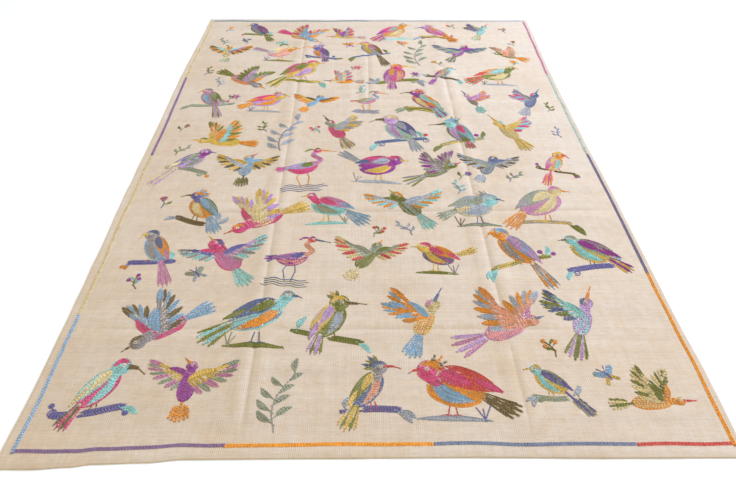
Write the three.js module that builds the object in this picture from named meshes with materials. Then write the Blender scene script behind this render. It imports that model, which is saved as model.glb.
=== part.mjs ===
// Flat-woven wool rug with a turned hem at each end, laid out flat after being stored folded.
// Millimetres, +Z up. X runs across the rug and Y along it, and the floor is Z = 0.
// The origin is on the floor under the middle of the rug.
import * as THREE from 'three';

// Driving dimensions
const rugWidth = 2010;        // widest reach across
const rugLength = 3030;       // longest reach along
const clothThick = 3;
const hemDepth = 26;          // turned hem at each end
const hemExtra = 1;           // how much the hem stands over the cloth
const selvedgeDepth = 8;      // corded edge along each side
const selvedgeExtra = 0.6;
const bevel = 3;              // run over which a hem or corded edge comes down to the cloth
const edgeEase = 320;         // how far in from an edge its unevenness still shows
const foldFade = 160;         // a fold dies out over this length at each end
const widestCell = 180;       // no two mesh lines lie further apart than this
const closestLines = 12;      // lines nearer than this are made one

const halfWidth = rugWidth / 2;
const halfLength = rugLength / 2;

// How far each edge lies in from its widest or longest reach, at places along it
const edges = {
  left: [
    { along: -1515, inset: 10 },
    { along: -1250, inset: 18 },
    { along: -980, inset: 18 },
    { along: -690, inset: 15 },
    { along: -330, inset: 8 },
    { along: 130, inset: 7 },
    { along: 735, inset: 0 },
    { along: 1380, inset: 9 },
    { along: 1515, inset: 9 },
  ],
  right: [
    { along: -1515, inset: 2 },
    { along: -1220, inset: 0 },
    { along: -985, inset: 7 },
    { along: -330, inset: 8 },
    { along: 130, inset: 16 },
    { along: 735, inset: 16 },
    { along: 1385, inset: 3 },
    { along: 1515, inset: 2 },
  ],
  near: [
    { along: -1005, inset: 0 },
    { along: -900, inset: 0 },
    { along: -800, inset: 6 },
    { along: -735, inset: 14 },
    { along: -600, inset: 18 },
    { along: -500, inset: 27 },
    { along: -150, inset: 29 },
    { along: 250, inset: 31 },
    { along: 650, inset: 28 },
    { along: 1005, inset: 29 },
  ],
  far: [
    { along: -1005, inset: 1 },
    { along: -400, inset: 4 },
    { along: 150, inset: 0 },
    { along: 700, inset: 4 },
    { along: 1005, inset: 1 },
  ],
};

// Sections across a fold, from its line (0) to where the cloth lies flat again (1).
// A trough dips on its line between two low shoulders, and a ridge is highest on its line.
const trough = (u) => 6.75 * u * (1 - u) ** 2;
const ridge = (u) => (1 - u) ** 2 * (1 + 2 * u);
const foldLines = [-1, -0.66, -0.33, 0, 0.33, 0.66, 1];

// Folds along the rug: x at the near and far ends, then the stretch of Y that shows the fold
const longFolds = [
  { near: -361, far: -380, from: -1480, to: 1330, high: 4.2, reach: 72, section: trough },
  { near: 440, far: 396, from: -1130, to: 930, high: 4.8, reach: 80, section: trough },
  { near: 440, far: 396, from: 860, to: 1480, high: 3.6, reach: 56, section: ridge },
  { near: 440, far: 396, from: -1500, to: -1000, high: 2.6, reach: 60, section: trough },
  { near: 0, far: -3, from: 330, to: 1220, high: 3.6, reach: 72, section: trough },
  { near: -90, far: -96, from: 240, to: 800, high: 3.2, reach: 56, section: ridge },
];

// Folds across the rug: y at the left and right sides, then the stretch of X that shows the fold
const crossFolds = [
  { left: 421, right: 417, from: -420, to: 1003, high: 3.8, reach: 62, section: ridge },
  { left: -451, right: -432, from: -700, to: 1003, high: 4.0, reach: 76, section: trough },
  { left: -1040, right: -1044, from: -960, to: 680, high: 3.6, reach: 76, section: trough },
];

// Broad places where the cloth stands a little off the floor
const swells = [
  { x: -690, y: 960, wide: 270, long: 380, high: 2.6 },
  { x: 200, y: -745, wide: 300, long: 230, high: 2.2 },
  { x: 735, y: 20, wide: 230, long: 360, high: 2.4 },
  { x: -650, y: -790, wide: 260, long: 230, high: 2.2 },
  { x: 700, y: -1190, wide: 210, long: 180, high: 2.0 },
];

const clamp01 = (t) => Math.min(Math.max(t, 0), 1);
const smooth = (t) => clamp01(t) ** 2 * (3 - 2 * clamp01(t));
const mix = (a, b, t) => a + (b - a) * t;
const yShare = (y) => (y + halfLength) / rugLength;
const xShare = (x) => (x + halfWidth) / rugWidth;

// Inset of one edge at a place along it, eased from row to row of its table
function insetAt(table, along) {
  const next = table.findIndex((row) => row.along >= along);
  if (next <= 0) {
    return table[next === 0 ? 0 : table.length - 1].inset;
  }
  const [a, b] = [table[next - 1], table[next]];
  return mix(a.inset, b.inset, smooth((along - a.along) / (b.along - a.along)));
}

// Draws a point of the plain rectangle in, as the nearest edges are
function drawnIn(x, y) {
  const pull = (fromEdge) => smooth(1 - fromEdge / edgeEase);
  const left = insetAt(edges.left, y) * pull(x + halfWidth);
  const right = insetAt(edges.right, y) * pull(halfWidth - x);
  const near = insetAt(edges.near, x) * pull(y + halfLength);
  const far = insetAt(edges.far, x) * pull(halfLength - y);
  return [x + left - right, y + near - far];
}

// Height of one fold at a distance from its line, fading towards both of its ends
function foldHeight(fold, offset, along) {
  const u = Math.abs(offset) / fold.reach;
  const shown = smooth((along - fold.from) / foldFade) * smooth((fold.to - along) / foldFade);
  return u < 1 ? fold.high * shown * fold.section(u) : 0;
}

// Height of the cloth's underside over the floor: folds and swells blend where they meet
function lift(x, y) {
  const along = longFolds.map((f) => foldHeight(f, x - mix(f.near, f.far, yShare(y)), y));
  const across = crossFolds.map((f) => foldHeight(f, y - mix(f.left, f.right, xShare(x)), x));
  const broad = swells.map((s) => {
    const u = Math.hypot((x - s.x) / s.wide, (y - s.y) / s.long);
    return u < 1 ? s.high * ridge(u) : 0;
  });
  return Math.hypot(...along, ...across, ...broad);
}

// Thickness of the cloth, with the hems at its ends and the corded edges along its sides
function thickness(x, y) {
  const hem = smooth((hemDepth + bevel - (halfLength - Math.abs(y))) / bevel);
  const cord = smooth((selvedgeDepth + bevel - (halfWidth - Math.abs(x))) / bevel);
  return clothThick + Math.max(hemExtra * hem, selvedgeExtra * cord);
}

// Mesh lines in one direction: both edges with their hem or cord, some for each fold, and
// plain ones between. Each line is a pair of places, at its start and at its end. A fold
// that carries on along another one uses the lines of that one.
function meshLines(half, borderDepth, folds, startKey, endKey) {
  const middle = (fold) => (fold[startKey] + fold[endKey]) / 2;
  const carriesOn = (fold, earlier) => Math.abs(middle(fold) - middle(earlier)) < earlier.reach;
  const lined = folds.filter((fold, i) => !folds.slice(0, i).some((f) => carriesOn(fold, f)));
  const lines = [];
  for (const side of [-1, 1]) {
    for (const inset of [0, borderDepth, borderDepth + bevel]) {
      lines.push([side * (half - inset), side * (half - inset)]);
    }
  }
  for (const fold of lined) {
    for (const share of foldLines) {
      const offset = share * fold.reach;
      lines.push([fold[startKey] + offset, fold[endKey] + offset]);
    }
  }
  lines.sort((a, b) => a[0] + a[1] - b[0] - b[1]);
  const isFixed = (line) => Math.abs(line[0]) >= half - borderDepth - bevel;
  const kept = [];
  for (const line of lines) {
    const last = kept[kept.length - 1];
    const gap = last ? Math.min(line[0] - last[0], line[1] - last[1]) : Infinity;
    if (gap >= closestLines || (isFixed(line) && gap > 0)) {
      kept.push(line);
    }
  }
  const filled = [kept[0]];
  for (const line of kept.slice(1)) {
    const last = filled[filled.length - 1];
    const count = Math.ceil(Math.max(line[0] - last[0], line[1] - last[1]) / widestCell);
    for (let i = 1; i <= count; i += 1) {
      filled.push([mix(last[0], line[0], i / count), mix(last[1], line[1], i / count)]);
    }
  }
  return filled;
}

// One closed sheet: a top and an underside on the same lines, joined by a wall all round
function sheetGeometry(columns, rows) {
  const across = columns.length;
  const top = [];
  const under = [];
  for (const row of rows) {
    for (const column of columns) {
      const flatX = (column[0] + column[1]) / 2;
      const y = mix(row[0], row[1], xShare(flatX));
      const x = mix(column[0], column[1], yShare(y));
      const [px, py] = drawnIn(x, y);
      const z = lift(x, y);
      top.push(px, py, z + thickness(x, y));
      under.push(px, py, z);
    }
  }
  const underStart = top.length / 3;
  const at = (i, j) => j * across + i;
  const faces = [];
  const quad = (a, b, c, d) => faces.push(a, b, c, a, c, d);
  for (let j = 0; j + 1 < rows.length; j += 1) {
    for (let i = 0; i + 1 < across; i += 1) {
      const [a, b, c, d] = [at(i, j), at(i + 1, j), at(i + 1, j + 1), at(i, j + 1)];
      quad(a, b, c, d);
      quad(underStart + d, underStart + c, underStart + b, underStart + a);
    }
  }
  const wall = (a, b) => quad(underStart + a, underStart + b, b, a);
  const lastRow = rows.length - 1;
  const lastColumn = across - 1;
  for (let i = 0; i < lastColumn; i += 1) {
    wall(at(i, 0), at(i + 1, 0));
    wall(at(i + 1, lastRow), at(i, lastRow));
  }
  for (let j = 0; j < lastRow; j += 1) {
    wall(at(lastColumn, j), at(lastColumn, j + 1));
    wall(at(0, j + 1), at(0, j));
  }
  const geometry = new THREE.BufferGeometry();
  geometry.setAttribute('position', new THREE.Float32BufferAttribute([...top, ...under], 3));
  geometry.setIndex(faces);
  geometry.computeVertexNormals();
  return geometry;
}

// The kilim: undyed cream wool
function kilim() {
  const columns = meshLines(halfWidth, selvedgeDepth, longFolds, 'near', 'far');
  const rows = meshLines(halfLength, hemDepth, crossFolds, 'left', 'right');
  const wool = new THREE.MeshStandardMaterial({ color: 0xe6dccb, roughness: 0.95, metalness: 0 });
  const mesh = new THREE.Mesh(sheetGeometry(columns, rows), wool);
  mesh.name = 'kilim';
  return mesh;
}

const rug = new THREE.Group();
rug.add(kilim());

export default rug;
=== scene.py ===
import math
import random
from collections import namedtuple

import bmesh
import bpy
import numpy as np
from mathutils import Matrix, Vector


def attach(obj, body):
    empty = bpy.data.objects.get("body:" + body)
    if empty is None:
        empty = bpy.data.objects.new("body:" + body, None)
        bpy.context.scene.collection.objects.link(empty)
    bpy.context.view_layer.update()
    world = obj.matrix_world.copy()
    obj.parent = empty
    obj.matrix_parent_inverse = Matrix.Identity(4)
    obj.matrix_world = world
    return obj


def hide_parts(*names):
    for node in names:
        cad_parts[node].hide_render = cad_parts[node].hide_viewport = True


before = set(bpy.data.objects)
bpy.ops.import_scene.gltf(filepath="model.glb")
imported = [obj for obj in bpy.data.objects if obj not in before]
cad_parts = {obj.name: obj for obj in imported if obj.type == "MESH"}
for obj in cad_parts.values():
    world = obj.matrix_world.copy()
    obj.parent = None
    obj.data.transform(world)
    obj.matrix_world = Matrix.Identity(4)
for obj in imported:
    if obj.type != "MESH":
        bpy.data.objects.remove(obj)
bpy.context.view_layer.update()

MM = 0.001

# The camera: its place in metres, its turns in radians, and its lens and film in millimetres
CAMERA_AT = (-0.0176, -2.3118, 1.4996)
CAMERA_YAW = 0.00548
CAMERA_PITCH = 0.72965
CAMERA_ROLL = 0.00297
LENS = 29.68
FILM_WIDTH = 36.0


def put(name, data):
    """A new object in the scene."""
    made = bpy.data.objects.new(name, data)
    bpy.context.collection.objects.link(made)
    return made


def place_camera():
    """The camera over the near end, looking down along the rug."""
    ahead = Vector((
        math.sin(CAMERA_YAW) * math.cos(CAMERA_PITCH),
        math.cos(CAMERA_YAW) * math.cos(CAMERA_PITCH),
        -math.sin(CAMERA_PITCH),
    ))
    level = Vector((math.cos(CAMERA_YAW), -math.sin(CAMERA_YAW), 0))
    upright = level.cross(ahead)
    right = math.cos(CAMERA_ROLL) * level + math.sin(CAMERA_ROLL) * upright
    up = math.cos(CAMERA_ROLL) * upright - math.sin(CAMERA_ROLL) * level
    turn = Matrix((right, up, -ahead)).transposed().to_4x4()
    data = bpy.data.cameras.new("camera")
    data.lens = LENS
    data.sensor_width = FILM_WIDTH
    camera = put("camera", data)
    camera.matrix_world = Matrix.Translation(CAMERA_AT) @ turn
    bpy.context.scene.camera = camera


Lamp = namedtuple("Lamp", "name at aim size power colour")
LAMPS = (
    Lamp("window", (5.5, 2.3, 3.7), (0.0, 0.0, 0.0), 1.6, 500, (0.78, 0.99, 1.48)),
)
SKY = (0.95, 0.865, 0.70)
SKY_STRENGTH = 0.88
FLOOR_SIZE = 30.0
FLOOR_DROP = 0.0004
FLOOR_COLOUR = (0.95, 0.98, 1.0)


def place_lights():
    """A window to the right of the rug, and soft light from the room."""
    for lamp in LAMPS:
        data = bpy.data.lights.new(lamp.name, "AREA")
        data.size = lamp.size
        data.energy = lamp.power
        data.color = lamp.colour
        light = put(lamp.name, data)
        light.location = lamp.at
        away = Vector(lamp.at) - Vector(lamp.aim)
        light.rotation_euler = away.to_track_quat("Z", "Y").to_euler()
    world = bpy.data.worlds.new("soft white room")
    world.use_nodes = True
    background = world.node_tree.nodes["Background"]
    background.inputs["Color"].default_value = (*SKY, 1)
    background.inputs["Strength"].default_value = SKY_STRENGTH
    bpy.context.scene.world = world
    bpy.context.scene.view_settings.view_transform = "Standard"


def place_floor():
    """A white floor, a hair under the rug."""
    half = FLOOR_SIZE / 2
    mesh = bpy.data.meshes.new("floor")
    corners = [(-half, -half), (half, -half), (half, half), (-half, half)]
    mesh.from_pydata([(x, y, -FLOOR_DROP) for x, y in corners], [], [(0, 1, 2, 3)])
    floor = put("floor", mesh)
    paint = bpy.data.materials.new("white floor")
    paint.use_nodes = True
    surface = paint.node_tree.nodes["Principled BSDF"]
    surface.inputs["Base Color"].default_value = (*FLOOR_COLOUR, 1)
    surface.inputs["Roughness"].default_value = 0.9
    mesh.materials.append(paint)


class Value:
    """A node's output that takes part in arithmetic: an expression adds its Math nodes."""

    def __init__(self, tree, socket):
        self.tree = tree
        self.socket = socket

    def __add__(self, other):
        return self.tree.maths("ADD", self, other)

    def __sub__(self, other):
        return self.tree.maths("SUBTRACT", self, other)

    def __rsub__(self, other):
        return self.tree.maths("SUBTRACT", other, self)

    def __mul__(self, other):
        return self.tree.maths("MULTIPLY", self, other)

    __radd__ = __add__
    __rmul__ = __mul__


class Tree:
    """A node tree, of a material or of a modifier."""

    def __init__(self, tree):
        self.tree = tree

    def node(self, kind, settings=None, links=None, out=0):
        """Adds a node: its settings first, then a value or another node's output for each input."""
        made = self.tree.nodes.new(kind)
        for name, value in (settings or {}).items():
            setattr(made, name, value)
        for key, value in (links or {}).items():
            if isinstance(value, Value):
                self.tree.links.new(value.socket, made.inputs[key])
            else:
                made.inputs[key].default_value = value
        return Value(self, made.outputs[out]) if made.outputs else None

    def maths(self, operation, *values):
        return self.node("ShaderNodeMath", {"operation": operation}, dict(enumerate(values)))

    def blend(self, how, amount, first, second):
        """One colour over another."""
        return self.node(
            "ShaderNodeMix", {"data_type": "RGBA", "blend_type": how},
            {0: amount, 6: first, 7: second}, out=2,
        )

    def stretched_noise(self, place, scale, detail=2.0, rough=0.5):
        """Noise on a place, its grain so many times a metre in each direction."""
        spread = self.node("ShaderNodeVectorMath", {"operation": "MULTIPLY"}, {0: place, 1: scale})
        return self.node(
            "ShaderNodeTexNoise", {},
            {"Vector": spread, "Scale": 1.0, "Detail": detail, "Roughness": rough},
        )


def linear(colour):
    """A colour from 0 to 255 as it looks, as the linear one that a shader takes."""
    shares = [c / 255 for c in colour]
    return tuple(s / 12.92 if s <= 0.04045 else ((s + 0.055) / 1.055) ** 2.4 for s in shares) + (1.0,)


def new_material(name, rough, sheen):
    """A wool finish with an empty tree around its shader."""
    material = bpy.data.materials.new(name)
    material.use_nodes = True
    surface = material.node_tree.nodes["Principled BSDF"]
    surface.inputs["Roughness"].default_value = rough
    surface.inputs["Sheen Weight"].default_value = sheen
    surface.inputs["Sheen Roughness"].default_value = 0.5
    surface.inputs["Specular IOR Level"].default_value = 0.2
    return material, surface, Tree(material.node_tree)


def dress(tree, surface, colour, height, strength, depth):
    """Gives a finish its colour, and its relief as a bump."""
    bump = tree.node(
        "ShaderNodeBump", {}, {"Strength": strength, "Distance": depth, "Height": height},
    )
    tree.tree.links.new(colour.socket, surface.inputs["Base Color"])
    tree.tree.links.new(bump.socket, surface.inputs["Normal"])


# The undyed cloth: its weave in metres, and its colours as they look, from 0 to 255
RIB_PITCH = 0.0054
RIB_SWAY = 0.004
WEFT_PITCH = 0.0017
WEFT_SWAY = 0.0016
CLOTH_COLOUR = (204, 185, 160)
WARM_COLOUR = (201, 176, 144)
PALE_COLOUR = (212, 200, 184)
SLUB_COLOUR = (168, 142, 108)
SLUBS_FROM = 0.665
RIBS_FROM = 0.45

# Its grains: how many times a metre each one comes across and along the rug, detail, roughness
GRAINS = {
    "sway": ((14, 9, 1), 2.0, 0.5),
    "ribbed": ((13, 10, 1), 2.0, 0.5),
    "yarn": ((150, 420, 1), 3.0, 0.6),
    "dash": ((36, 300, 1), 2.0, 0.6),
    "streak": ((3.2, 160, 1), 3.0, 0.65),
    "band": ((0.8, 17, 1), 2.0, 0.5),
    "rib_band": ((150, 4.5, 1), 2.0, 0.5),
    "patch": ((34, 26, 1), 2.0, 0.5),
    "cloud": ((2.6, 2.2, 1), 3.0, 0.6),
    "slub": ((30, 390, 1), 1.0, 0.5),
}
# How much each grain lightens and darkens the wool
GRAIN_TONES = {"dash": 0.26, "streak": 0.28, "band": 0.18, "rib_band": 0.16, "yarn": 0.22}
CLOTH_TONE = 0.985
RIB_TONE = 0.45


def ground_wool():
    """Flat-woven cream wool: lengthwise ribs, weft streaks across, slubs and uneven yarn."""
    material, surface, tree = new_material("undyed wool", 0.95, 0.22)
    place = tree.node("ShaderNodeTexCoord", out=3)
    axes = tree.node("ShaderNodeSeparateXYZ", {}, {0: place})
    across, along_rug = (Value(tree, output) for output in axes.socket.node.outputs[:2])
    grain = {name: tree.stretched_noise(place, *row) for name, row in GRAINS.items()}
    sway = grain["sway"] - 0.5
    rib = tree.maths("SINE", (across + sway * RIB_SWAY) * (2 * math.pi / RIB_PITCH))
    weft = tree.maths("SINE", (along_rug + sway * WEFT_SWAY) * (2 * math.pi / WEFT_PITCH))
    shows = tree.maths("MAXIMUM", grain["ribbed"] - RIBS_FROM, 0.0)
    warmth = grain["cloud"] * 1.6 + grain["patch"] * 1.3 - 0.95
    warm = tree.blend("MIX", warmth, linear(PALE_COLOUR), linear(WARM_COLOUR))
    base = tree.blend("MIX", 0.4, warm, linear(CLOTH_COLOUR))
    slub = tree.maths("GREATER_THAN", grain["slub"], SLUBS_FROM)
    flecked = tree.blend("MIX", slub * 0.3, base, linear(SLUB_COLOUR))
    tone = CLOTH_TONE + rib * shows * RIB_TONE
    for name, amount in GRAIN_TONES.items():
        tone = tone + (grain[name] - 0.5) * amount
    colour = tree.blend("MULTIPLY", 1.0, flecked, tone)
    uneven = (grain["yarn"] - 0.5) + (grain["dash"] - 0.5) * 0.8
    height = rib * (shows * 2.0 + 0.10) + weft * 0.14 + uneven
    dress(tree, surface, colour, height, 0.45, 0.0005)
    return material


THREAD_TONE = 0.93


def thread_wool():
    """Dyed wool thread: each stitch a little lighter or darker, with painted shade low between its
    strands and painted light on their tops.
    """
    material, surface, tree = new_material("embroidery wool", 0.88, 0.12)
    place = tree.node("ShaderNodeTexCoord", out=3)
    dye = tree.node("ShaderNodeAttribute", {"attribute_name": "dye"})
    # crest carries painted shade: near 0 low between the strands, 1 on their tops
    crest = tree.node("ShaderNodeAttribute", {"attribute_name": "crest"}, out=2)
    shade = tree.node("ShaderNodeAttribute", {"attribute_name": "shade"}, out=2)
    fibre = tree.stretched_noise(place, (1100, 1100, 900), 2.0)
    batch = tree.stretched_noise(place, (16, 16, 1), 2.0)
    # Painted shade and light: the thread darker where its link is low, lighter on the link's top
    tone = THREAD_TONE + crest * 0.18
    for part, amount in ((shade, 0.30), (fibre, 0.24), (batch, 0.22)):
        tone = tone + (part - 0.5) * amount
    colour = tree.blend("MULTIPLY", 1.0, dye, tone)
    dress(tree, surface, colour, fibre, 0.4, 0.0003)
    return material


# The cloth as it lies, in millimetres, the same sizes as the solid's
RUG_WIDTH = 2010.0
RUG_LENGTH = 3030.0
HALF_WIDTH = RUG_WIDTH / 2
HALF_LENGTH = RUG_LENGTH / 2
CLOTH_THICK = 3.0
HEM_DEPTH = 26.0
HEM_EXTRA = 1.0
SELVEDGE_DEPTH = 8.0
SELVEDGE_EXTRA = 0.6
BEVEL = 3.0
EDGE_EASE = 320.0
FOLD_FADE = 160.0
ROUNDING = 1.6
RIM_THICK = 0.72
WIDEST_CELL = 16.0
CLOSEST_LINES = 3.0
CLOSEST_AT_EDGE = 0.4
LINES_FROM_FOLD = (0.055, 0.14, 0.24, 0.36, 0.5, 0.66, 0.83, 1)

# How far each edge lies in from its widest or longest reach: (along it, inset)
EDGES = {
    "left": (
        (-1515, 10), (-1250, 18), (-980, 18), (-690, 15), (-330, 8), (130, 7), (735, 0), (1380, 9),
        (1515, 9),
    ),
    "right": (
        (-1515, 2), (-1220, 0), (-985, 7), (-330, 8), (130, 16), (735, 16), (1385, 3), (1515, 2),
    ),
    "near": (
        (-1005, 0), (-900, 0), (-800, 6), (-735, 14), (-600, 18), (-500, 27), (-150, 29), (250, 31),
        (650, 28), (1005, 29),
    ),
    "far": ((-1005, 1), (-400, 4), (150, 0), (700, 4), (1005, 1)),
}


def trough(u):
    """A fold that dips on its line between two low shoulders."""
    return 6.75 * u * (1 - u) ** 2


def ridge(u):
    """A fold that is highest on its line."""
    return (1 - u) ** 2 * (1 + 2 * u)


Fold = namedtuple("Fold", "start finish since until high reach section")
LONG_FOLDS = (
    Fold(-361, -380, -1480, 1330, 4.2, 72, trough),
    Fold(440, 396, -1130, 930, 4.8, 80, trough),
    Fold(440, 396, 860, 1480, 3.6, 56, ridge),
    Fold(440, 396, -1500, -1000, 2.6, 60, trough),
    Fold(0, -3, 330, 1220, 3.6, 72, trough),
    Fold(-90, -96, 240, 800, 3.2, 56, ridge),
)
CROSS_FOLDS = (
    Fold(421, 417, -420, 1003, 3.8, 62, ridge),
    Fold(-451, -432, -700, 1003, 4.0, 76, trough),
    Fold(-1040, -1044, -960, 680, 3.6, 76, trough),
)
Swell = namedtuple("Swell", "x y wide long high turn")
SWELLS = (
    Swell(-690, 960, 270, 380, 2.6, 0),
    Swell(200, -745, 300, 230, 2.2, 0),
    Swell(735, 20, 230, 360, 2.4, 0),
    Swell(-650, -790, 260, 230, 2.2, 0),
    Swell(700, -1190, 210, 180, 2.0, 0),
)
# Small puckers that only the finished cloth has
PUCKERS = (
    Swell(498, -1392, 26, 120, 2.4, -38),
    Swell(-420, -1398, 22, 90, 1.6, 24),
    Swell(236, 560, 30, 210, 1.8, 6),
    Swell(-232, 640, 30, 190, 1.6, -7),
    Swell(130, 980, 26, 170, 1.6, 9),
    Swell(640, 700, 34, 240, 1.5, -12),
    Swell(-640, 130, 30, 220, 1.4, 8),
    Swell(60, -240, 34, 180, 1.4, -10),
    Swell(-150, -1240, 30, 150, 1.4, 16),
)


def smooth(t):
    """Eases from 0 to 1."""
    held = np.clip(t, 0, 1)
    return held ** 2 * (3 - 2 * held)


def mix(a, b, t):
    return a + (b - a) * t


def inset_at(table, place):
    """Inset of one edge at places along it, eased from row to row of its table."""
    places, insets = np.array(table, float).T
    row = np.clip(np.searchsorted(places, place) - 1, 0, len(places) - 2)
    share = smooth((place - places[row]) / (places[row + 1] - places[row]))
    return mix(insets[row], insets[row + 1], share)


def drawn_in(x, y):
    """Points of the plain rectangle drawn in, as the nearest edges are."""
    left = inset_at(EDGES["left"], y) * smooth(1 - (x + HALF_WIDTH) / EDGE_EASE)
    right = inset_at(EDGES["right"], y) * smooth(1 - (HALF_WIDTH - x) / EDGE_EASE)
    near = inset_at(EDGES["near"], x) * smooth(1 - (y + HALF_LENGTH) / EDGE_EASE)
    far = inset_at(EDGES["far"], x) * smooth(1 - (HALF_LENGTH - y) / EDGE_EASE)
    return x + left - right, y + near - far


def fold_height(fold, offset, place):
    """Height of a fold at distances from its line, fading towards both of its ends."""
    u = np.clip(np.abs(offset) / fold.reach, 0, 1)
    shown = smooth((place - fold.since) / FOLD_FADE) * smooth((fold.until - place) / FOLD_FADE)
    return fold.high * shown * fold.section(u)


def swell_height(swell, x, y):
    """Height of a swell or a pucker, highest at its middle."""
    turn = math.radians(swell.turn)
    dx = (x - swell.x) * math.cos(turn) + (y - swell.y) * math.sin(turn)
    dy = (y - swell.y) * math.cos(turn) - (x - swell.x) * math.sin(turn)
    return swell.high * ridge(np.clip(np.hypot(dx / swell.wide, dy / swell.long), 0, 1))


def lift(x, y):
    """Height of the cloth's underside over the floor: folds and swells blend where they meet."""
    total = np.zeros(np.broadcast(x, y).shape)
    for fold in LONG_FOLDS:
        line = mix(fold.start, fold.finish, (y + HALF_LENGTH) / RUG_LENGTH)
        total = total + fold_height(fold, x - line, y) ** 2
    for fold in CROSS_FOLDS:
        line = mix(fold.start, fold.finish, (x + HALF_WIDTH) / RUG_WIDTH)
        total = total + fold_height(fold, y - line, x) ** 2
    for swell in SWELLS:
        total = total + swell_height(swell, x, y) ** 2
    return np.sqrt(total)


RIPPLES = 14
RIPPLE_HEIGHT = 0.128
RIPPLE_LENGTHS = (70, 260)
RIPPLE_SEED = 11


def ripple(x, y):
    """Slight unevenness of the face, from crossing waves about a hand wide."""
    rng = random.Random(RIPPLE_SEED)
    total = 0.0
    for _ in range(RIPPLES):
        way = rng.uniform(0, math.pi)
        length = rng.uniform(*RIPPLE_LENGTHS)
        phase = rng.uniform(0, 2 * math.pi)
        total = total + np.sin(2 * math.pi * (x * math.cos(way) + y * math.sin(way)) / length + phase)
    return RIPPLE_HEIGHT * total


def thickness(x, y):
    """Thickness of the cloth, with the hems, the corded side edges and the rounded rim."""
    from_end = HALF_LENGTH - np.abs(y)
    from_side = HALF_WIDTH - np.abs(x)
    hem = smooth((HEM_DEPTH + BEVEL - from_end) / BEVEL)
    cord = smooth((SELVEDGE_DEPTH + BEVEL - from_side) / BEVEL)
    rim = np.clip(np.minimum(from_end, from_side) / ROUNDING, 0, 1)
    full = CLOTH_THICK + np.maximum(HEM_EXTRA * hem, SELVEDGE_EXTRA * cord)
    return full * (RIM_THICK + (1 - RIM_THICK) * np.sqrt(1 - (1 - rim) ** 2))


def face_height(x, y):
    """Height of the embroidered face over the floor."""
    puckers = np.sqrt(sum(swell_height(pucker, x, y) ** 2 for pucker in PUCKERS))
    return lift(x, y) + puckers + thickness(x, y) + ripple(x, y)


def mesh_lines(half, border_depth, folds):
    """Mesh lines in one direction: edges, hem or cord, folds, and plain ones between."""
    lines = []
    for side in (-1, 1):
        for inset in (0, 0.5, ROUNDING, border_depth, border_depth + BEVEL / 2, border_depth + BEVEL):
            lines.append((side * (half - inset), side * (half - inset)))
    shares = (0, *LINES_FROM_FOLD, *(-share for share in LINES_FROM_FOLD))
    for fold in folds:
        for share in shares:
            offset = share * fold.reach
            lines.append((fold.start + offset, fold.finish + offset))
    lines.sort(key=sum)
    kept = lines[:1]
    for line in lines[1:]:
        fixed = abs(line[0]) >= half - border_depth - BEVEL
        gap = min(line[0] - kept[-1][0], line[1] - kept[-1][1])
        if gap >= (CLOSEST_AT_EDGE if fixed else CLOSEST_LINES):
            kept.append(line)
    filled = kept[:1]
    for line in kept[1:]:
        last = filled[-1]
        count = math.ceil(max(line[0] - last[0], line[1] - last[1]) / WIDEST_CELL)
        for i in range(1, count + 1):
            filled.append((mix(last[0], line[0], i / count), mix(last[1], line[1], i / count)))
    return np.array(filled)


RIM_OUT = 0.7
RIM_HEIGHT = 0.4
# The map of the sheet: widths of the rim's two halves, and the size and gap of the underside
MAP_RIM = 3
MAP_RIM_BACK = 6
MAP_GAP = 30
UNDER_SCALE = 0.45


def kilim_sheet(material):
    """The cloth: a face and an underside on the same lines, joined round a soft rim."""
    columns = mesh_lines(HALF_WIDTH, SELVEDGE_DEPTH, LONG_FOLDS)
    rows = mesh_lines(HALF_LENGTH, HEM_DEPTH, CROSS_FOLDS)
    flat_x = columns.mean(1)[None, :]
    y = mix(rows[:, :1], rows[:, 1:], (flat_x + HALF_WIDTH) / RUG_WIDTH)
    x = mix(columns[:, 0], columns[:, 1], (y + HALF_LENGTH) / RUG_LENGTH)
    px, py = drawn_in(x, y)
    under = lift(x, y)
    face = np.stack([px, py, face_height(x, y)], 2).reshape(-1, 3)
    back = np.stack([px, py, under], 2).reshape(-1, 3)
    down, over = x.shape
    index = np.arange(down * over).reshape(down, over)
    ring = np.concatenate([index[0, :-1], index[:-1, -1], index[-1, :0:-1], index[:0:-1, 0]])
    outward = np.sign(np.stack([x, y], 2).reshape(-1, 2)[ring])
    on_side = np.isin(ring, index[:, [0, -1]])
    on_end = np.isin(ring, index[[0, -1], :])
    outward *= np.stack([on_side, on_end], 1)
    middle = face[ring].copy()
    middle[:, :2] += outward * RIM_OUT
    middle[:, 2] = mix(back[ring, 2], face[ring, 2], RIM_HEIGHT)
    points = np.vstack([face, back, middle]) * MM
    a, b, c, d = index[:-1, :-1], index[:-1, 1:], index[1:, 1:], index[1:, :-1]
    tops = np.stack([a, b, c, d], 2).reshape(-1, 4)
    backs = np.stack([d, c, b, a], 2).reshape(-1, 4) + len(face)
    after = np.roll(ring, -1)
    mids = 2 * len(face) + np.arange(len(ring))
    mids_after = np.roll(mids, -1)
    upper = np.stack([mids, mids_after, after, ring], 1)
    lower = np.stack([ring + len(face), after + len(face), mids_after, mids], 1)
    mesh = bpy.data.meshes.new("kilim_sheet")
    mesh.from_pydata(points.tolist(), [], np.vstack([tops, backs, upper, lower]).tolist())
    mesh.shade_smooth()
    mesh.materials.append(material)
    unroll = np.zeros((len(points), 2))
    unroll[:len(face)] = face[:, :2]
    unroll[2 * len(face):] = face[ring, :2] + outward * MAP_RIM
    lay_out_map(mesh, unroll, len(tops), len(backs), ring, outward, face, back)
    return finished("kilim_sheet", mesh)


def corner_points(mesh):
    """The point at each corner of each face."""
    corners = np.zeros(len(mesh.loops), int)
    mesh.loops.foreach_get("vertex_index", corners)
    return corners


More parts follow.
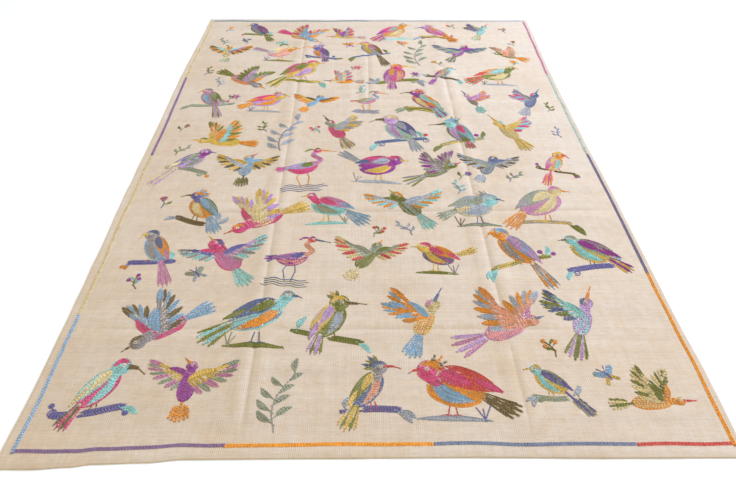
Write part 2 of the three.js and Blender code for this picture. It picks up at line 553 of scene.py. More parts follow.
def write_map(mesh, spots):
    """Keeps a flat place for each corner as the piece's map, fitted to a unit square."""
    low = spots.min(0)
    layer = mesh.uv_layers.new(name="OFBake")
    layer.data.foreach_set("uv", ((spots - low) / (spots.max(0) - low).max()).ravel())


def lay_out_map(mesh, unroll, tops, backs, ring, outward, face, back):
    """The face and its rim unrolled flat, with the underside at a smaller size beside them."""
    corners = corner_points(mesh)
    spots = unroll[corners]
    count = len(face)
    back_at = back[:, :2] * UNDER_SCALE
    back_at += np.array([HALF_WIDTH + MAP_GAP + HALF_WIDTH * UNDER_SCALE, 0])
    quad = np.arange(len(corners)) // 4
    under = (quad >= tops) & (quad < tops + backs)
    spots[under] = back_at[corners[under] - count]
    low = (quad >= tops + backs + len(ring)) & (corners >= count) & (corners < 2 * count)
    reach = np.zeros((count, 2))
    reach[ring] = outward * MAP_RIM_BACK
    spots[low] = (face[:, :2] + reach)[corners[low] - count]
    write_map(mesh, spots)


def finished(name, mesh):
    """An object at the origin, riding with the rug."""
    piece = put(name, mesh)
    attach(piece, "root")
    return piece


# Dyes of the threads, from 0 to 255
DYES = {
    "magenta": (166, 74, 158),
    "pink": (224, 86, 134),
    "coral": (222, 88, 80),
    "orange": (236, 156, 52),
    "ochre": (228, 192, 92),
    "olive": (134, 138, 58),
    "khaki": (124, 104, 64),
    "mint": (158, 214, 206),
    "sky": (146, 182, 204),
    "slate": (104, 118, 152),
    "periwinkle": (118, 112, 168),
    "lilac": (204, 164, 204),
    "grey": (166, 158, 154),
    "sage": (164, 170, 142),
    "peach": (240, 172, 136),
    "cream": (246, 236, 214),
    "plum": (84, 62, 90),
    "straw": (232, 210, 150),
    "mauve": (146, 118, 158),
    "rose": (212, 142, 176),
    "sea": (104, 148, 160),
    "mist": (178, 184, 190),
    "amber": (246, 168, 48),
    "dusk": (124, 116, 152),
    "frost": (196, 214, 202),
    "sand": (228, 208, 160),
    "haze": (162, 188, 208),
    "steel": (132, 146, 172),
}
FEATHER_DYES = (
    "pink", "slate", "orange", "grey", "olive", "lilac", "khaki", "magenta", "orange", "mist",
    "pink", "straw", "sky", "coral", "olive", "ochre", "sage", "mint", "rose", "periwinkle",
)
SOFT_DYES = ("peach", "lilac", "ochre", "mint", "grey", "sky", "mist", "sage", "orange", "straw", "rose")
BILL_DYES = ("orange", "coral", "ochre", "khaki", "slate")
TWIG_DYES = ("khaki", "olive", "periwinkle", "grey", "slate", "sage")
LEAF_DYES = ("olive", "sage", "olive", "mint", "mist")
FRUIT_DYES = ("coral", "pink", "orange", "magenta", "periwinkle")

# Chain stitch, in millimetres
STITCH_LENGTH = 8.2
SHORTEST_STITCH = 4.2
STITCH_OVERLAP = 2.2
THREAD_WIDTH = 4.4
THREAD_HEIGHT = 1.35
THREAD_REST = 0.2
THREAD_SPAN = 9.0
THREAD_SWAY = 0.07
ROW_PITCH = 3.7
SHORTEST_ROW = 3.6
ROW_TONES = (0.80, 1.14)
BORDER_TONES = (1.02, 1.14)
COVERED_GAP = 0.9
EDGED_FROM = 1.05
BEND_SHORTENS = 4.5
LONG_ROW = 12
LATEST_START = 3

# Half widths of a lobe along its spine, as shares of its widest
FORMS = {
    "egg": lambda t: (1 - np.abs(2 * t - 1) ** 2.3) ** 0.5,
    "almond": lambda t: np.sin(np.pi * t) ** 0.85,
    "drop": lambda t: (
        (1 - (1 - np.minimum(t / 0.3, 1)) ** 2) ** 0.5
        * np.cos(np.pi / 2 * np.clip((t - 0.3) / 0.7, 0, 1)) ** 0.8
    ),
    "plume": lambda t: (0.4 + 0.6 * t ** 0.6) * (1 - np.clip((t - 0.55) / 0.45, 0, 1) ** 1.9) ** 0.8,
    "bar": lambda t: (1 - np.abs(2 * t - 1) ** 12) ** 0.5,
    "bill": lambda t: 1 - 0.9 * t,
}


def along(points, count=40):
    """Points on a soft curve through a few given ones."""
    given = np.array(points, float)
    spots = np.linspace(0, len(given) - 1, count)
    first = np.minimum(spots.astype(int), len(given) - 2)
    t = (spots - first)[:, None]
    ends = np.vstack([2 * given[0] - given[1], given, 2 * given[-1] - given[-2]])
    a, b, c, d = (ends[first + i] for i in range(4))
    bend = (2 * a - 5 * b + 4 * c - d) * t ** 2 + (3 * b - a - 3 * c + d) * t ** 3
    return 0.5 * (2 * b + (c - a) * t + bend)


def sideways(path):
    """Unit vectors to the left of a path, one for each of its points."""
    ahead = np.gradient(path, axis=0)
    ahead /= np.maximum(np.linalg.norm(ahead, axis=1), 1e-9)[:, None]
    return np.stack([-ahead[:, 1], ahead[:, 0]], 1)


def heading(degrees, length=1.0):
    """A step of some length: 0 is to the right and 90 up the rug."""
    turn = math.radians(degrees)
    return np.array([math.cos(turn), math.sin(turn)]) * length


def circle(radius, start=0.0):
    """Points round a ring, one stitch short of its start."""
    left_open = 1 / max(4, round(2 * math.pi * radius / SHORTEST_STITCH))
    turns = start + np.linspace(0, 2 * math.pi * (1 - left_open), 25)
    return np.stack([np.cos(turns), np.sin(turns)], 1) * radius


def length_of(path):
    return np.linalg.norm(np.diff(path, axis=0), axis=1).sum()


def stitch_share(row):
    """Share of a full stitch that a row's stitches take: less where it bends tightly."""
    steps = np.diff(row, axis=0)
    ways = np.unwrap(np.arctan2(steps[:, 1], steps[:, 0]))
    bend = np.abs(np.diff(ways)).sum() / max(length_of(row), 1e-6)
    return max(SHORTEST_STITCH / STITCH_LENGTH, 1 / (1 + BEND_SHORTENS * bend))


def runs(shown):
    """Start and end of each unbroken stretch of True."""
    steps = np.flatnonzero(np.diff(np.concatenate([[0], shown.astype(int), [0]])))
    return list(zip(steps[::2], steps[1::2]))


def inside(points, outline):
    """Which points lie within a closed outline."""
    x, y = points[:, :1], points[:, 1:]
    ax, ay = outline.T
    bx, by = np.roll(outline, -1, axis=0).T
    rise = np.where(by == ay, 1e-9, by - ay)
    crossed = ((ay > y) != (by > y)) & (x < ax + (y - ay) * (bx - ax) / rise)
    return crossed.sum(1) % 2 == 1


class Motif:
    """One embroidered figure: parts in the order they are worked, each over the ones before."""

    def __init__(self, rng, size=1.0):
        self.rng = rng
        self.size = size
        self.parts = []

    def scaled(self, points):
        return np.array(points, float) * self.size

    def add(self, rows, outline=None):
        self.parts.append((rows, outline))

    def dyed(self, row, lane, dye, fill, second):
        """A row in its dye, or cut into lengths of two dyes where the fill is flecked."""
        if (fill == "stripe" and lane % 2) or (fill == "streak" and self.rng.random() < 0.34):
            return [(row, second)]
        if fill != "fleck":
            return [(row, dye)]
        pieces = []
        start = 0
        while start < len(row) - 2:
            end = min(len(row) - 1, start + self.rng.randint(4, 11))
            pieces.append((row[start:end + 1], second if self.rng.random() < 0.4 else dye))
            start = end
        return pieces

    def lobe(self, spine, wide, dye, form="almond", fill="solid", second=None):
        """A filled shape about a spine: rows along it, inside a row round its edge if it is wide."""
        path = along(self.scaled(spine))
        widest = wide * self.size / 2
        half = np.maximum(FORMS[form](np.linspace(0, 1, len(path))), 0) * widest
        left = sideways(path)
        rows = []
        edged = widest > EDGED_FROM * ROW_PITCH and form in ("egg", "almond", "drop")
        if edged:
            kept = half > 0.6 * ROW_PITCH
            middle = path[kept]
            reach = left[kept] * (half[kept] - ROW_PITCH / 2)[:, None]
            loop = np.vstack([middle + reach, (middle - reach)[::-1]])
            rows.append((loop, second if fill == "edge" else dye))
        room = widest - (ROW_PITCH if edged else 0)
        lanes = max(1, round(2 * room / ROW_PITCH))
        step = 2 * room / lanes
        for lane in range(lanes):
            offset = (lane - (lanes - 1) / 2) * step
            lane_at = np.full(len(path), offset)
            if form == "bill":
                lane_at = offset * half / widest
                shown = np.ones(len(path), bool)
                shown[len(path) // 2:] = lane == lanes // 2
            else:
                shown = half > abs(offset) + (0.95 * ROW_PITCH if edged else 0.1 * ROW_PITCH)
            for start, end in runs(shown):
                row = path[start:end] + left[start:end] * lane_at[start:end, None]
                rows += self.dyed(row, lane, dye, fill, second)
        rim = (half + COVERED_GAP)[:, None]
        self.add(rows, np.vstack([path + left * rim, (path - left * rim)[::-1]]))

    def disc(self, middle, radius, dye, second=None):
        """A round filled with rings."""
        middle = self.scaled(middle)
        radius = radius * self.size
        rows = []
        reach = radius - ROW_PITCH / 2
        while reach > 0.45 * ROW_PITCH:
            ring = middle + circle(reach, 2.4 * len(rows))
            rows.append((ring, dye if not rows or second is None else second))
            reach -= ROW_PITCH
        rows.append((middle + np.array([[-1.0, 0], [0, 0.2], [1.0, 0]]), second or dye))
        self.add(rows, middle + circle(radius + COVERED_GAP))

    def line(self, points, dye, count=24):
        """A single row."""
        self.add([(along(self.scaled(points), count), dye)])

    def eye(self, middle, radius=6.0):
        """A ring of pale thread about one dark stitch."""
        middle = self.scaled(middle)
        self.add([(middle + circle(radius - 1.6), "cream")], middle + circle(radius + COVERED_GAP))
        self.add([(middle + np.array([[-1.0, 0.0], [0, 0.2], [1.0, 0.0]]), "plum")])

    def curl(self, start, degrees, size, dye, side=1):
        """A tendril: a row that winds in on itself."""
        turns = np.linspace(0, 2.9 * math.pi, 26)
        shrink = np.linspace(1, 0.3, 26) * size * self.size
        at = [self.scaled(start)]
        for turn, step in zip(turns, shrink):
            at.append(at[-1] + heading(degrees + side * math.degrees(turn), step * 0.28))
        self.add([(np.array(at), dye)])

    def rows(self):
        """Every row that shows, cut where a later part covers it."""
        found = []
        rims = [None if rim is None else (rim, rim.min(0), rim.max(0)) for _, rim in self.parts]
        for order, (rows, _) in enumerate(self.parts):
            covers = [rim for rim in rims[order + 1:] if rim is not None]
            for row, dye in rows:
                shown = np.ones(len(row), bool)
                low, high = row.min(0), row.max(0)
                for rim, rim_low, rim_high in covers:
                    if (low < rim_high).all() and (high > rim_low).all():
                        shown &= ~inside(row, rim)
                for start, end in runs(shown):
                    late = self.rng.randint(0, LATEST_START) if end - start > LONG_ROW else 0
                    piece = row[start + late:end]
                    if length_of(piece) >= SHORTEST_ROW or (len(row) == 3 and end - start == 3):
                        found.append((piece, dye))
        return found


Dyes = namedtuple("Dyes", "body breast head cap wing covert plume tail tip bill twig leaf fruit")


def dyes_for(place, rng):
    """Dyes of one figure: its body's follows from its place, and the rest are drawn."""
    body = FEATHER_DYES[(place * 7 + place // 7) % len(FEATHER_DYES)]
    wing, tail, accent = rng.sample([dye for dye in FEATHER_DYES if dye != body], 3)
    breast = rng.choice([dye for dye in SOFT_DYES if dye != body])
    head = rng.choice((body, body, accent, breast))
    cap = rng.choice([dye for dye in (accent, wing, body) if dye != head])
    covert = rng.choice([dye for dye in (accent, breast, tail) if dye != wing])
    return Dyes(
        body, breast, head, cap, wing, covert, rng.choice((tail, tail, accent)), tail,
        rng.choice((tail, wing, body)), rng.choice(BILL_DYES), rng.choice(TWIG_DYES),
        rng.choice(LEAF_DYES), rng.choice(FRUIT_DYES),
    )


def leaf(m, root, degrees, size, dye):
    """A leaf on a short stalk."""
    stalk = root + heading(degrees, 0.2 * size)
    m.line([root, stalk], dye, 6)
    bend = stalk + heading(degrees + 12, 0.45 * size)
    m.lobe([stalk, bend, stalk + heading(degrees, 0.9 * size)], 0.36 * size, dye, "almond")


def berry(m, root, tip, radius, dye):
    """A berry on a stalk."""
    m.line([root, tip], dye.twig, 8)
    m.disc(tip, radius, dye.fruit)


def branch(m, start, end, thick, dye):
    """A bough that a bird sits on, with side twigs, leaves, tendrils and berries."""
    rng = m.rng
    span = end - start
    sag = np.array([0, rng.uniform(-8, 8)])
    fill = rng.choice(("solid", "solid", "fleck"))
    m.lobe([start, start + span * 0.5 + sag, end], thick, dye.twig, "bar", fill, "ochre")
    tilt = math.degrees(math.atan2(span[1], span[0]))
    for share, turn, side in ((0.08, 128, 1), (0.9, 52, -1)):
        root = start + span * share
        for step in range(rng.randint(1, 3)):
            way = tilt + side * turn * (0.6 + 0.35 * step)
            kind = rng.random()
            if kind < 0.6:
                leaf(m, root, way, rng.uniform(34, 48), dye.leaf)
            elif kind < 0.8:
                berry(m, root, root + heading(way, rng.uniform(20, 34)), 6.5, dye)
            else:
                m.curl(root, way, 14, dye.twig, side)


def wing(m, shoulder, reach, arm, trail, count, dyes):
    """A raised wing: long feathers off an arm, shorter ones over them, and the arm on top."""
    arm_path = along([
        shoulder,
        shoulder + heading(arm + (arm - trail) * 0.14, 0.30 * reach),
        shoulder + heading(arm, 0.54 * reach),
    ])
    for share, dye, other in ((1.0, dyes[0], dyes[1]), (0.50, dyes[2], dyes[2])):
        feathers = []
        for i in range(count):
            s = i / (count - 1)
            root = arm_path[int(s * 0.97 * (len(arm_path) - 1))]
            way = trail + (arm - trail) * s ** 1.15
            long = reach * (0.44 + 0.10 * math.sin(math.pi * s) + 0.04 * s) * share
            feathers.append((root, root + heading(way, 0.5 * long), root + heading(way, long)))
        tips = np.array([feather[2] for feather in feathers])
        wide = 1.12 * np.linalg.norm(np.diff(tips, axis=0), axis=1).mean()
        for i, feather in enumerate(feathers):
            m.lobe(feather, wide, other if i % 2 else dye, "plume")
    m.lobe(arm_path[::13], 0.15 * reach, dyes[3], "drop")


def fan(m, root, degrees, length, count, spread, wide, dye, tip_dye):
    """Tail feathers, the middle ones over the outer ones."""
    order = sorted(range(count), key=lambda i: -abs(i - (count - 1) / 2))
    for i in order:
        off = i - (count - 1) / 2
        way = degrees + off * spread
        long = length * (1 - 0.05 * abs(off))
        m.lobe([root, root + heading(way, long)], wide, tip_dye if i % 2 else dye, "plume")


Perched = namedtuple(
    "Perched", "lean body girth neck head bill hook tail plumes spread wing crest legs ground"
)
PERCHED = {
    "thrush": Perched(40, 118, 68, 3, 19, 15, 0, 84, 4, 7, 96, 0, 15, False),
    "parakeet": Perched(17, 118, 60, 0, 22, 14, 12, 116, 4, 5, 100, 0, 5, False),
    "kingfisher": Perched(14, 100, 58, 0, 23, 36, 0, 52, 4, 8, 86, 3, 6, False),
    "dove": Perched(50, 112, 66, 18, 16, 12, 2, 84, 5, 7, 98, 0, 16, True),
    "hoopoe": Perched(32, 110, 56, 8, 17, 28, 6, 86, 5, 6, 90, 5, 14, False),
    "bigbill": Perched(20, 112, 64, 2, 22, 36, 12, 72, 4, 7, 94, 0, 8, False),
    "wren": Perched(58, 96, 66, 0, 20, 14, 0, -78, 3, 7, 74, 0, 20, True),
    "magpie": Perched(34, 104, 58, 4, 18, 15, 2, 118, 4, 4, 96, 0, 12, False),
    "finch": Perched(62, 110, 74, 2, 22, 13, 5, 74, 4, 7, 88, 3, 18, True),
}


# A crown's course over the head: angles, and shares of the head's radius
PERCHED_CROWN = ((188, 0.86), (112, 0.68), (40, 0.86))
FLYING_CROWN = ((150, 0.9), (80, 0.64), (20, 0.85))


def varied(shape, rng, turned, sized):
    """A shape whose angles and sizes are a little off, so that no two birds are alike."""
    angles = {name: getattr(shape, name) + rng.uniform(-7, 7) for name in turned}
    sizes = {name: getattr(shape, name) * rng.uniform(0.9, 1.12) for name in sized}
    return shape._replace(**angles, **sizes)


def perched_bird(m, kind, dye):
    """A bird seen from its side, looking right: on a bough, or on its feet.

    Its parts are shares of its body's length along it, and of its girth or its head across.
    """
    rng = m.rng
    b = varied(kind, rng, ("lean",), ("body", "girth", "head", "bill", "tail", "wing", "legs"))
    up = heading(90 - b.lean)
    front = heading(-b.lean) * b.girth
    hip = -0.42 * b.body * up
    neck = 0.40 * b.body * up + 0.10 * front
    head = neck + heading(62, b.neck + 0.45 * b.head)
    feet = 0.22 * front + np.array([0, -0.40 * b.body - b.legs])
    fill = rng.choice(("solid", "solid", "fleck", "streak", "streak"))
    if b.ground:
        m.lobe([feet + [-66, -8], feet + [0, -5], feet + [62, -9]], 12, dye.leaf, "almond")
        for way in (62, 84, 108):
            m.line([feet + [-50, -6], feet + [-50, -6] + heading(way, rng.uniform(18, 34))], dye.twig, 9)
    else:
        slope = rng.uniform(-16, 16)
        reach = rng.uniform(62, 96)
        start = feet + heading(slope + 180, reach)
        branch(m, start, feet + heading(slope, reach * 0.8), rng.choice((10, 14, 18)), dye)
    way = 270 - b.lean + (-62 if b.tail < 0 else 4)
    root = hip + 0.14 * b.body * up
    fan(m, root, way, abs(b.tail) + 12, b.plumes, b.spread, 13, dye.tail, dye.tip)
    for foot in (-7, 8):
        ankle = feet + np.array([foot, 2])
        m.line([feet + np.array([foot * 0.6, b.legs + 6]), ankle], dye.bill, 8)
        if b.ground:
            m.line([ankle + [-6, -2], ankle, ankle + [9, -2]], dye.bill, 6)
    body = [hip - 8 * up, 0.14 * front, neck + 2 * up]
    m.lobe(body, b.girth, dye.body, "egg", fill, dye.cap)
    flank = [hip + 0.26 * front, 0.38 * front, neck + 0.10 * front]
    m.lobe(flank, b.girth * 0.34, dye.breast, "almond")
    m.lobe([neck - 0.2 * b.body * up, neck, head], b.head * 1.55, dye.head, "bar")
    for i in range(b.crest):
        way = 106 + i * 19
        root = head + heading(way, 0.55 * b.head)
        m.lobe([root, root + heading(way, 22 + 4 * (i % 2))], 8, dye.cap if i % 2 else dye.tip, "plume")
    m.disc(head, b.head, dye.head)
    crown = [head + heading(way, share * b.head) for way, share in PERCHED_CROWN]
    m.lobe(crown, 0.6 * b.head, dye.cap, "almond")
    shoulder = 0.30 * b.body * up - 0.06 * front
    tip = shoulder - b.wing * up - 0.22 * front
    bow = (shoulder + tip) / 2 - 0.05 * front
    fill = rng.choice(("solid", "stripe", "streak"))
    m.lobe([shoulder + 8 * up, bow, tip], b.girth * 0.56, dye.wing, "drop", fill, dye.plume)
    quill = (shoulder + tip) / 2 - 0.10 * front
    m.lobe([quill, tip - 6 * up], b.girth * 0.2, dye.plume, "almond")
    elbow = shoulder - 0.52 * b.wing * up - 0.06 * front
    m.lobe([shoulder + 4 * up, elbow], b.girth * 0.34, dye.covert, "drop")
    root = head + np.array([0.72 * b.head, 0.5])
    tip = root + np.array([b.bill + 0.2 * b.head, -b.hook - 1.5])
    thick = 8 if b.hook < 10 and b.bill < 30 else 10 if b.hook < 10 else 15
    m.lobe([root, (root + tip) / 2 + np.array([0, 0.5 * b.hook]), tip], thick, dye.bill, "bill")
    m.eye(head + np.array([0.22 * b.head, 0.16 * b.head]))


Flying = namedtuple(
    "Flying", "course body girth head bill tail plumes spread reach near near_trail far far_trail quills"
)
FLYING = {
    "swallow": Flying(24, 100, 40, 15, 11, 80, 4, 12, 122, 116, 190, 62, 140, 8),
    "lark": Flying(58, 96, 46, 17, 12, 64, 5, 8, 118, 148, 206, 12, -40, 8),
    "hummer": Flying(66, 86, 34, 14, 30, 62, 5, 8, 92, 132, 192, 164, 212, 7),
    "gull": Flying(90, 96, 44, 16, 13, 64, 6, 8, 118, 160, 228, 20, -48, 8),
    "diver": Flying(-32, 96, 44, 16, 16, 66, 4, 9, 118, 84, 150, 50, 112, 8),
    "crane": Flying(8, 112, 42, 14, 22, 62, 4, 9, 120, 104, 170, 76, 136, 8),
}


def flying_bird(m, kind, dye):
    """A bird on the wing: far wing, tail and body, then the near wing and the head."""
    b = varied(kind, m.rng, ("near", "far"), ("body", "girth", "head", "bill", "tail", "reach"))
    ahead = heading(b.course)
    chest, rump = 0.26 * b.body * ahead, -0.40 * b.body * ahead
    head = (0.5 * b.body + 0.5 * b.head) * ahead
    far = (dye.plume, dye.wing, dye.covert, dye.body)
    near = (dye.wing, dye.plume, dye.breast, dye.covert)
    wing(m, chest, b.reach * 0.92, b.far, b.far_trail, b.quills, far)
    fan(m, rump + 8 * ahead, b.course + 180, b.tail + 10, b.plumes, b.spread, 13, dye.tail, dye.tip)
    body = [rump - 4 * ahead, -0.06 * b.body * ahead, chest + 16 * ahead]
    fill = m.rng.choice(("solid", "fleck", "stripe"))
    m.lobe(body, b.girth, dye.body, "egg", fill, dye.breast)
    m.lobe([chest, head], b.head * 1.5, dye.head, "bar")
    m.disc(head, b.head, dye.head)
    wing(m, chest - 8 * ahead, b.reach, b.near, b.near_trail, b.quills, near)
    facing = b.course if abs(b.course - 90) > 8 else 48
    root = head + heading(facing, 0.72 * b.head)
    m.lobe([root, root + heading(facing - 4, b.bill + 0.3 * b.head)], 8, dye.bill, "bill")
    crown = [head + heading(facing + way, share * b.head) for way, share in FLYING_CROWN]
    m.lobe(crown, 0.55 * b.head, dye.cap, "almond")
    m.eye(head + heading(facing + 26, 0.30 * b.head), 5.6)


def wader(m, dye):
    """A long-legged bird standing in ripples."""
    rng = m.rng
    for i in range(4):
        start, finish = rng.randint(-72, -52), rng.randint(48, 72)
        wave = [(x, -90 - 9 * i + 2.4 * math.sin(x / 8)) for x in range(start, finish, 6)]
        m.line(wave, dye.twig if i % 2 else "slate", 60)
    for hip, knee, foot in (((-8, -12), (-20, -50), (-8, -92)), ((10, -12), (18, -52), (12, -94))):
        m.line([hip, knee], dye.bill, 14)
        m.line([knee, foot], dye.bill, 14)
    fan(m, np.array([-34.0, 8.0]), 196, 52, 3, 12, 15, dye.tail, dye.tip)
    fill = rng.choice(("solid", "fleck"))
    m.lobe([(-50, 2), (0, -2), (44, 30)], 54, dye.body, "egg", fill, dye.breast)
    m.lobe([(32, 18), (56, 44), (34, 72), (46, 98)], 17, dye.breast, "bar")
    m.lobe([(40, 104), (22, 106), (2, 92)], 8, dye.cap, "almond")
    m.disc((48, 100), 14, dye.head)
    m.lobe([(38, 106), (47, 112), (58, 108)], 8, dye.cap, "almond")
    m.lobe([(36, 24), (-14, 12), (-66, -4)], 32, dye.wing, "drop", "stripe", dye.plume)
    m.lobe([(30, 26), (-4, 16)], 22, dye.covert, "egg")
    m.lobe([(58, 100), (106, 90)], 9, dye.bill, "bill")
    m.eye((51, 102), 5.6)


Sprig = namedtuple("Sprig", "length bend leaves size fruits petals")
SPRIGS = {
    "leafy": Sprig(150, 22, 8, 44, 0, 0),
    "twig": Sprig(56, 10, 4, 30, 0, 0),
    "berry_twig": Sprig(48, -8, 2, 28, 3, 0),
    "bud": Sprig(40, 6, 2, 32, 0, 3),
    "small_daisy": Sprig(34, 6, 2, 28, 0, 6),
}


def sprig(m, b, dye):
    """A stem with leaves by turns on both sides, then berries or a flower at its head."""
    foot = np.array([-0.5 * b.bend, -0.5 * b.length])
    top = np.array([0.5 * b.bend, 0.5 * b.length])
    stem = along([foot, (foot + top) / 2 - [b.bend, 0], top])
    m.line(stem[::13], dye.twig, 40)
    for i in range(b.leaves):
        share = (i + 1) / (b.leaves + (0.2 if b.petals or b.fruits else 0))
        root = stem[min(len(stem) - 1, int(share * 0.86 * len(stem)))]
        side = 1 if i % 2 else -1
        leaf(m, root, 90 - side * 48, b.size * (1.06 - 0.3 * share), dye.leaf)
    if b.leaves and not (b.petals or b.fruits):
        leaf(m, top, 88, b.size * 0.9, dye.leaf)
    for i in range(b.fruits):
        root = stem[int((0.45 + 0.5 * i / b.fruits) * len(stem))]
        berry(m, root, root + heading(90 + (52 - 7 * i) * (-1) ** i, 24 - 2 * i), 6.8, dye)
    if b.petals == 3:
        for turn, petal in ((26, dye.fruit), (-26, dye.fruit), (0, dye.bill)):
            m.lobe([top - [0, 6], top + heading(90 + turn, 0.7 * b.size)], 0.36 * b.size, petal)
    elif b.petals:
        reach = 0.74 * b.size
        for i in range(b.petals):
            way = 90 + 360 * i / b.petals
            petal = [top + heading(way, 0.2 * reach), top + heading(way, reach)]
            m.lobe(petal, 0.4 * reach, dye.fruit, "plume")
        m.disc(top, 0.28 * reach, dye.bill)


def butterfly(m, dye):
    """A butterfly with its wings spread."""
    for side in (-1, 1):
        m.lobe([(side * 3, 2), (side * 26, 22)], 24, dye.wing, "plume", "edge", dye.plume)
        m.lobe([(side * 3, -2), (side * 18, -20)], 17, dye.covert, "plume")
        m.line([(side * 2, 14), (side * 9, 27)], dye.twig, 6)
    m.lobe([(0, -16), (0, 16)], 8, dye.twig)


def draw_figure(kind, m, dye):
    """Draws one kind of figure into a motif."""
    if kind in PERCHED:
        perched_bird(m, PERCHED[kind], dye)
    elif kind in FLYING:
        flying_bird(m, FLYING[kind], dye)
    elif kind in SPRIGS:
        sprig(m, SPRIGS[kind], dye)
    elif kind == "wader":
        wader(m, dye)
    else:
        butterfly(m, dye)


# Layout of the field, in millimetres of flat cloth
FIELD_LOW = np.array([-934.0, -1428.0])
FIELD_HIGH = np.array([940.0, 1450.0])
FIGURE_ROWS = 10
FIGURES_ACROSS = 7
FIGURE_ROOM = np.array([252.0, 272.0])
GROWTHS = (1.22, 1.14, 1.06, 0.98, 0.9, 0.82, 0.74, 0.66)
LARGEST = 1.8
KINDS = (
    "thrush", "lark", "parakeet", "hummer", "dove", "gull", "hoopoe", "swallow", "kingfisher", "leafy",
    "wader", "crane", "magpie", "finch", "diver", "bigbill", "wren", "parakeet", "hummer", "lark",
)
DECKS = 4
FILLERS = ("twig", "berry_twig", "small_daisy", "twig", "bud", "butterfly")
FILLERS_TRIED = 44
FILLER_SPOTS = 14
FILLER_SIZE = 1.15
CLEAR_CELL = 10.0
OFF_ROW = (8, 14)
MOST_TURN = 7
MOST_SMALL_TURN = 40
FIGURE_SEED = 2024
SMALL_SEED = 3024


def spots_of(rows):
    """Every point of a figure's rows."""
    return np.vstack([row for row, _ in rows])


def middle_of(rows):
    spots = spots_of(rows)
    return (spots.min(0) + spots.max(0)) / 2


def drawn_figure(kind, place, seed, size, turn, mirrored):
    """Rows of a figure about its own middle, turned and perhaps mirrored."""
    rng = random.Random(seed)
    m = Motif(rng, size)
    draw_figure(kind, m, dyes_for(place, rng))
    rows = m.rows()
    centre = middle_of(rows)
    turned = np.array([heading(turn), heading(turn + 90)])
    flip = np.array([-1.0 if mirrored else 1.0, 1.0])
    return [(((row - centre) * flip) @ turned, dye) for row, dye in rows]


def cells_of(rows, size, middle):
    """Squares of the cloth that a figure touches at a size and a place."""
    spots = spots_of(rows) * size + middle
    return {tuple(cell) for cell in np.floor(spots / CLEAR_CELL).astype(int)}


def clear_of(cells, taken):
    """Whether no square of a figure touches a taken one, corners included."""
    near = ((x + dx, y + dy) for x, y in cells for dx in (-1, 0, 1) for dy in (-1, 0, 1))
    return not any(cell in taken for cell in near)


def in_field(rows, size, middle):
    """Whether a figure stays inside the border line."""
    spots = spots_of(rows) * size + middle
    return (spots.min(0) > FIELD_LOW).all() and (spots.max(0) < FIELD_HIGH).all()


def size_for(rows, middle, taken):
    """The largest size at which a figure stays in the field and clear of the others."""
    spots = spots_of(rows)
    fits = min(FIGURE_ROOM / (spots.max(0) - spots.min(0)))
    for growth in GROWTHS:
        size = min(LARGEST, fits * growth)
        if in_field(rows, size, middle) and clear_of(cells_of(rows, size, middle), taken):
            break
    return size


def lay_out_field():
    """Every figure of the field: large ones in staggered rows, small ones in the gaps."""
    rng = random.Random(FIGURE_SEED)
    deck = [kind for _ in range(DECKS) for kind in rng.sample(KINDS, len(KINDS))]
    pitch = (FIELD_HIGH - FIELD_LOW) / np.array([FIGURES_ACROSS, FIGURE_ROWS])
    figures = []
    taken = set()
    for row in range(FIGURE_ROWS):
        inset = row % 2
        for column in range(FIGURES_ACROSS - inset):
            place = len(figures)
            middle = FIELD_LOW + pitch * np.array([column + 0.5 + inset / 2, row + 0.5])
            middle = middle + np.array([rng.uniform(-reach, reach) for reach in OFF_ROW])
            made = (deck[place], place, FIGURE_SEED + place)
            turn = rng.uniform(-MOST_TURN, MOST_TURN)
            mirrored = rng.random() < 0.5
            size = size_for(drawn_figure(*made, 1.0, turn, mirrored), middle, taken)
            rows = drawn_figure(*made, size, turn, mirrored)
            figures.append([(line + middle, dye) for line, dye in rows])
            taken |= cells_of(rows, 1.0, middle)
    for small in range(FILLERS_TRIED):
        made = (FILLERS[small % len(FILLERS)], small, SMALL_SEED + small)
        turn = rng.uniform(-MOST_SMALL_TURN, MOST_SMALL_TURN)
        rows = drawn_figure(*made, FILLER_SIZE, turn, rng.random() < 0.5)
        for _ in range(FILLER_SPOTS):
            middle = np.array([rng.uniform(*ends) for ends in zip(FIELD_LOW, FIELD_HIGH)])
            cells = cells_of(rows, 1.0, middle)
            if in_field(rows, 1.0, middle) and clear_of(cells, taken):
                figures.append([(line + middle, dye) for line, dye in rows])
                taken |= cells
                break
    return figures


PANELS_ACROSS = ("left", "middle", "right")
PANELS_ALONG = ("near", "front", "back", "far")


def panels():
    """The field's figures in a dozen pieces, each with those that stand in one part of the rug."""
    found = {}
    for rows in lay_out_field():
        share = (middle_of(rows) - FIELD_LOW) / (FIELD_HIGH - FIELD_LOW)
        across = PANELS_ACROSS[int(share[0] * len(PANELS_ACROSS))]
        along_rug = PANELS_ALONG[int(share[1] * len(PANELS_ALONG))]
        found.setdefault(f"figures_{along_rug}_{across}", []).extend(rows)
    return list(found.items())


